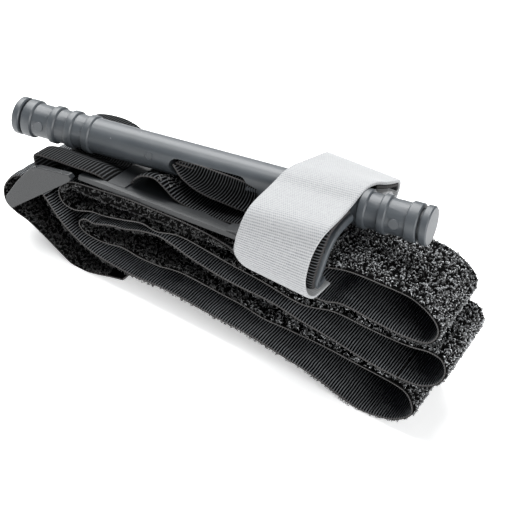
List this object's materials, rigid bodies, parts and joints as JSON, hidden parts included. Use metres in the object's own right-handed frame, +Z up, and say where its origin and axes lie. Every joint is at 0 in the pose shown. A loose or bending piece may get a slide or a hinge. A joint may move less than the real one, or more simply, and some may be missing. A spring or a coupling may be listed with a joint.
{
  "type": "windlass tourniquet",
  "caption": "Folded strap tourniquet with a ribbed windlass rod held in a clip by a pale strap, a side buckle and a zigzag-folded hook-and-loop band.",
  "frame": {"origin": "middle of the footprint, on the surface the folded kit lies on", "axes": "+X along the band towards the clip end, -Y towards the side the pale strap is sewn to, +Z up"},
  "size_m": [0.1655, 0.0555, 0.0641],
  "materials": {
    "moulded_plastic": "satin moulded nylon",
    "knitted_strap": "fine pale knit",
    "hook_tape": "ribbed hook tape",
    "thread": "bonded thread",
    "ribbon_webbing": "ribbed ribbon",
    "sealed_tip": "pressed smooth tip",
    "band_webbing": "ribbed webbing with a looped pile on the other side"
  },
  "bodies": {
    "base": {"stabilization_plate": "moulded_plastic", "windlass_clip": "moulded_plastic", "strap_base": "knitted_strap", "ear_loop_patch": "hook_tape", "buckle_fold": "band_webbing", "ribbon_hump": "ribbon_webbing", "hump_stitching": "thread", "ribbon_lower": "ribbon_webbing", "ribbon_near": "ribbon_webbing", "ribbon_far": "ribbon_webbing", "band_run_0": "band_webbing", "fold_loop_1": "band_webbing"},
    "windlass": {"windlass_rod": "moulded_plastic", "ribbon_in_slot": "ribbon_webbing"},
    "strap": {"time_strap": "knitted_strap", "strap_hook_patch": "hook_tape"},
    "buckle": {"buckle_frame": "moulded_plastic"},
    "band_1": {"band_run_1": "band_webbing", "fold_loop_2": "band_webbing"},
    "band_2": {"band_run_2": "band_webbing", "fold_loop_3": "band_webbing"},
    "band_3": {"band_run_3": "band_webbing", "fold_loop_4": "band_webbing"},
    "band_4": {"band_run_4": "band_webbing", "fold_loop_5": "band_webbing"},
    "band_5": {"band_run_5": "band_webbing", "buckle_wrap": "band_webbing"},
    "tail": {"band_tail": "band_webbing", "tail_tip": "sealed_tip"}
  },
  "joints": [
    {"name": "windlass_turn", "type": "hinge", "parent": "base", "child": "windlass", "pos_m": [-0.0111, 0, 0.0445], "axis": [-0.1881, 0.0698, 0.9797], "range_deg": [0, 120], "deforming": ["time_strap", "strap_hook_patch", "ribbon_hump", "ribbon_lower", "ribbon_near", "ribbon_far", "hump_stitching", "ribbon_in_slot"]},
    {"name": "strap_open", "type": "hinge", "parent": "base", "child": "strap", "pos_m": [0.02411, -0.027, 0.04515], "axis": [0.9821, 0, 0.1886], "range_deg": [0, 150]},
    {"name": "buckle_tilt", "type": "hinge", "parent": "base", "child": "buckle", "pos_m": [-0.0575, 0, 0.0246], "axis": [0, 1, 0], "range_deg": [0, 10]},
    {"name": "fold_1_open", "type": "hinge", "parent": "base", "child": "band_1", "pos_m": [0.0758, 0, 0.0366], "axis": [0, -1, 0], "range_deg": [0, 165], "deforming": ["fold_loop_1"]},
    {"name": "fold_2_open", "type": "hinge", "parent": "band_1", "child": "band_2", "pos_m": [-0.0523, 0, 0.0225], "axis": [0, 1, 0], "range_deg": [0, 165], "deforming": ["fold_loop_2"]},
    {"name": "fold_3_open", "type": "hinge", "parent": "band_2", "child": "band_3", "pos_m": [0.082, 0, 0.026], "axis": [0, -1, 0], "range_deg": [0, 165], "deforming": ["fold_loop_3"]},
    {"name": "fold_4_open", "type": "hinge", "parent": "band_3", "child": "band_4", "pos_m": [-0.0429, 0, 0.016], "axis": [0, 1, 0], "range_deg": [0, 165], "deforming": ["fold_loop_4"]},
    {"name": "fold_5_open", "type": "hinge", "parent": "band_4", "child": "band_5", "pos_m": [0.0773, 0, 0.009], "axis": [0, -1, 0], "range_deg": [0, 165], "deforming": ["fold_loop_5"]},
    {"name": "tail_peel", "type": "hinge", "parent": "band_5", "child": "tail", "pos_m": [-0.0715, 0, 0.0154], "axis": [0, 1, 0], "range_deg": [0, 150], "deforming": ["buckle_wrap"]}
  ],
  "couplings": [
    {"joint": "fold_2_open", "follows": "fold_1_open", "ratio": 1},
    {"joint": "fold_3_open", "follows": "fold_1_open", "ratio": 1},
    {"joint": "fold_4_open", "follows": "fold_1_open", "ratio": 1},
    {"joint": "fold_5_open", "follows": "fold_1_open", "ratio": 1}
  ]
}
